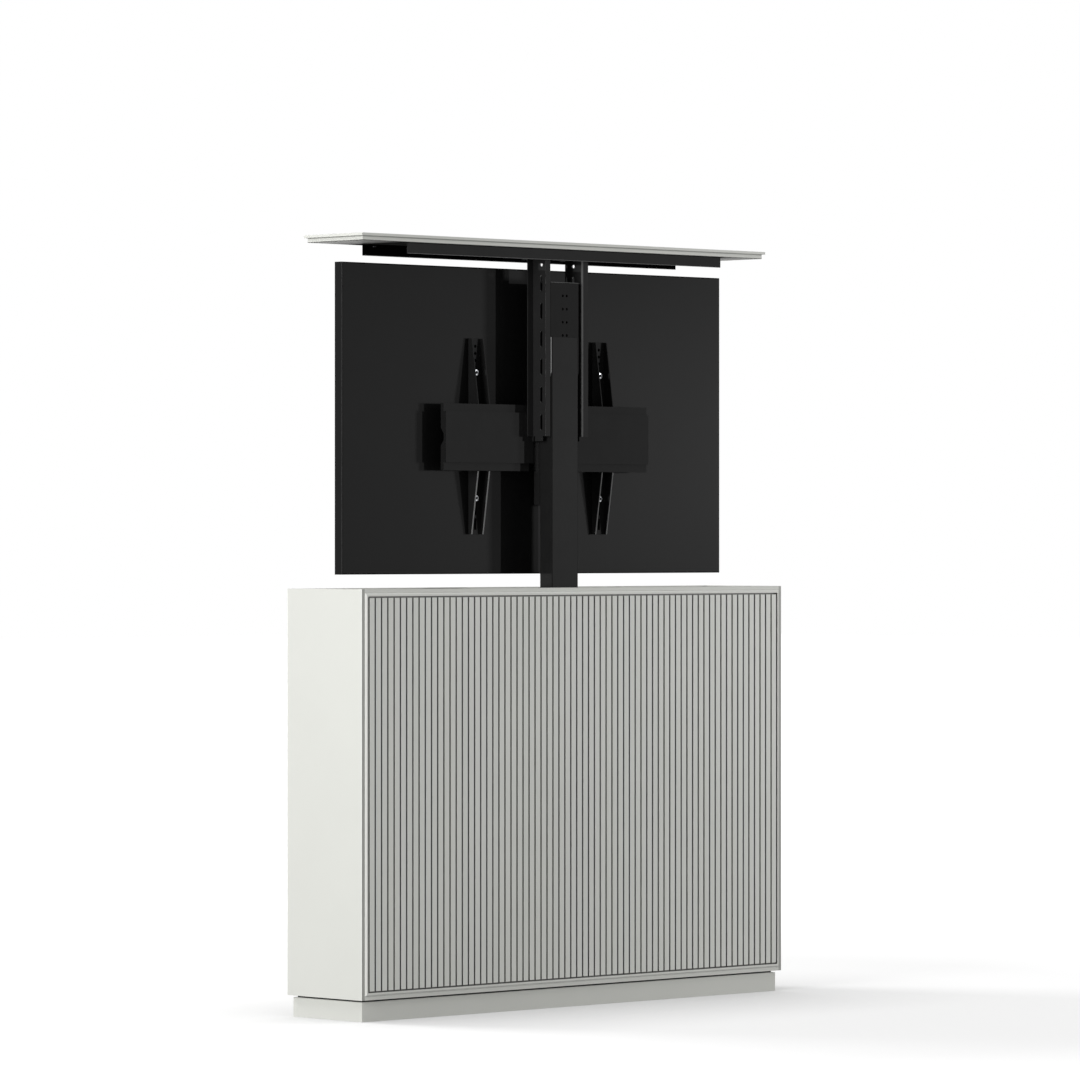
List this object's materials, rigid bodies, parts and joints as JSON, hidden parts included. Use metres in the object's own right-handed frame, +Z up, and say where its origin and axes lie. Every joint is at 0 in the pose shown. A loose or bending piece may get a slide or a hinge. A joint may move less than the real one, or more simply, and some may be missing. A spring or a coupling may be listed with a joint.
{
  "type": "tv lift cabinet",
  "caption": "Free-standing cabinet with fluted faces and an electric column lift that raises a flat television and its lid.",
  "frame": {"origin": "middle of the footprint, on the floor", "axes": "+Z up, +X along the cabinet's width, the television's screen looks along +Y"},
  "size_m": [1.356, 0.253, 1.752],
  "materials": {
    "cabinet_paint": "satin warm grey lacquer",
    "flute_paint": "satin warm grey lacquer",
    "lid_paint": "satin warm grey lacquer",
    "raw_board": "raw board",
    "gap_black": "matt black",
    "plinth_paint": "satin warm grey lacquer",
    "black_steel": "semi-gloss black",
    "bracket_steel": "matt black",
    "inner_steel": "drawn tube",
    "zinc": "bright zinc",
    "dark_screw": "black oxide",
    "tv_plastic": "gloss dark grey",
    "screen": "gloss black",
    "housing_plastic": "black",
    "glide_plastic": "natural",
    "belt_rubber": "toothed belt",
    "grommet_rubber": "moulded",
    "alloy": "turned",
    "brass_nut": "turned"
  },
  "bodies": {
    "cabinet": {"side_panel_left": "cabinet_paint", "side_panel_right": "cabinet_paint", "back_board": "cabinet_paint", "front_board": "cabinet_paint", "fluted_panel_back": "flute_paint", "fluted_panel_front": "flute_paint", "bottom_panel": "raw_board", "corner_battens": "raw_board", "shadow_gap_frame": "gap_black", "plinth_back": "plinth_paint", "plinth_front": "plinth_paint", "plinth_ends": "plinth_paint", "levelling_feet": "zinc", "cable_grommet": "grommet_rubber", "control_box": "housing_plastic", "inlet_socket": "housing_plastic", "base_plate": "black_steel", "base_screws": "zinc", "gear_housing": "housing_plastic", "lift_motor": "black_steel", "inner_column": "inner_steel", "inner_glides": "glide_plastic", "inner_belt_clamps": "alloy"},
    "spindle_body": {"spindle": "inner_steel"},
    "mid_stage": {"mid_column": "inner_steel", "push_tube": "inner_steel", "spindle_nut": "brass_nut", "mid_glides": "glide_plastic", "drive_belts": "belt_rubber", "pulley_yokes": "alloy", "pulley_pins": "zinc"},
    "carriage": {"outer_column": "black_steel", "outer_glides": "glide_plastic", "outer_belt_clamps": "alloy", "column_cap": "housing_plastic", "head_bracket": "bracket_steel", "bracket_screws": "dark_screw", "lid_post_left": "black_steel", "lid_post_right": "black_steel", "lid_straps": "black_steel", "lid_bar_back": "black_steel", "lid_bar_front": "black_steel", "lid_screws": "dark_screw", "lid_core": "lid_paint", "lid_top": "lid_paint", "crossbar": "black_steel", "mount_plate": "black_steel", "doubler_plate": "black_steel", "mount_screws": "dark_screw", "vesa_arm_left": "black_steel", "vesa_arm_right": "black_steel", "arm_screws": "zinc", "tv_back_cover": "tv_plastic", "tv_bezel": "tv_plastic", "tv_screen": "screen"},
    "pulley_upper_left_body": {"pulley_upper_left": "alloy"},
    "pulley_upper_right_body": {"pulley_upper_right": "alloy"},
    "pulley_lower_left_body": {"pulley_lower_left": "alloy"},
    "pulley_lower_right_body": {"pulley_lower_right": "alloy"}
  },
  "joints": [
    {"name": "lift", "type": "slide", "parent": "cabinet", "child": "carriage", "axis": [0, 0, 1], "range_m": [-0.792, 0]},
    {"name": "mid_slide", "type": "slide", "parent": "cabinet", "child": "mid_stage", "axis": [0, 0, 1], "range_m": [-0.3961, 0]},
    {"name": "spindle_turn", "type": "hinge", "parent": "cabinet", "child": "spindle_body", "pos_m": [0, -0.0589, 0.2], "axis": [0, 0, 1], "range_deg": [-11881, 0]},
    {"name": "pulley_upper_left_turn", "type": "hinge", "parent": "mid_stage", "child": "pulley_upper_left_body", "pos_m": [-0.0285, -0.0589, 1.1095], "axis": [0, 1, 0], "range_deg": [-2579.3, 0]},
    {"name": "pulley_upper_right_turn", "type": "hinge", "parent": "mid_stage", "child": "pulley_upper_right_body", "pos_m": [0.0285, -0.0589, 1.1095], "axis": [0, 1, 0], "range_deg": [0, 2579.3]},
    {"name": "pulley_lower_left_turn", "type": "hinge", "parent": "mid_stage", "child": "pulley_lower_left_body", "pos_m": [-0.0285, -0.0589, 0.5495], "axis": [0, 1, 0], "range_deg": [-2579.3, 0]},
    {"name": "pulley_lower_right_turn", "type": "hinge", "parent": "mid_stage", "child": "pulley_lower_right_body", "pos_m": [0.0285, -0.0589, 0.5495], "axis": [0, 1, 0], "range_deg": [0, 2579.3]}
  ],
  "couplings": [
    {"joint": "mid_slide", "follows": "lift", "ratio": 0.5},
    {"joint": "spindle_turn", "follows": "lift", "rad_per_m": 261.8},
    {"joint": "pulley_upper_left_turn", "follows": "lift", "rad_per_m": 56.818},
    {"joint": "pulley_upper_right_turn", "follows": "lift", "rad_per_m": -56.818},
    {"joint": "pulley_lower_left_turn", "follows": "lift", "rad_per_m": 56.818},
    {"joint": "pulley_lower_right_turn", "follows": "lift", "rad_per_m": -56.818}
  ]
}
